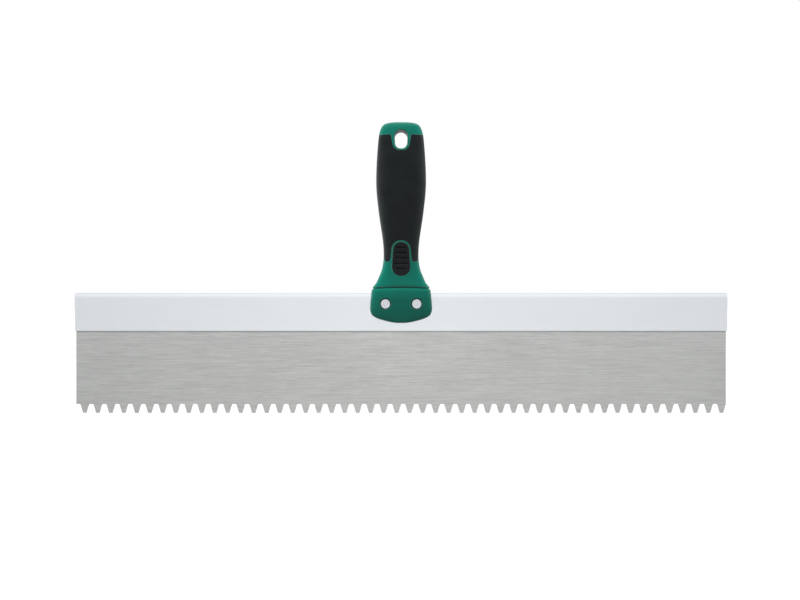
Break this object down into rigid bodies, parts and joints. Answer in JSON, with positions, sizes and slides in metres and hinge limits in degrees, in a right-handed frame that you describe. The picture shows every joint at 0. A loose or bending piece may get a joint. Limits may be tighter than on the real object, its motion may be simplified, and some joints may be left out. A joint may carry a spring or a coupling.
{
  "type": "notched trowel",
  "caption": "Wide notched trowel: a toothed steel blade in an aluminium back profile, with a two-part riveted handle and a hanging hole.",
  "frame": {"origin": "middle of the notched edge, on the blade's mid-plane, level with the tooth tips", "axes": "+Z from the notched edge up the handle, +X along the blade, -Y out of the front face"},
  "size_m": [0.6016, 0.0304, 0.2684],
  "materials": {
    "blade_steel": "stainless sheet with a fine brushed grain along its width",
    "spine_aluminium": "satin natural anodised extrusion",
    "handle_plastic": "fine satin moulded polypropylene, dark green",
    "grip_rubber": "matt black moulded elastomer",
    "rivet_metal": "pressed flat heads with a fine hammered face"
  },
  "bodies": {
    "root": {"blade": "blade_steel", "spine_profile": "spine_aluminium", "handle_core": "handle_plastic", "grip_sleeve": "grip_rubber", "thumb_pad_front": "grip_rubber", "thumb_pad_back": "grip_rubber", "rivet_pin_left": "rivet_metal", "rivet_barrel_left": "rivet_metal", "rivet_pin_right": "rivet_metal", "rivet_barrel_right": "rivet_metal"}
  },
  "joints": []
}
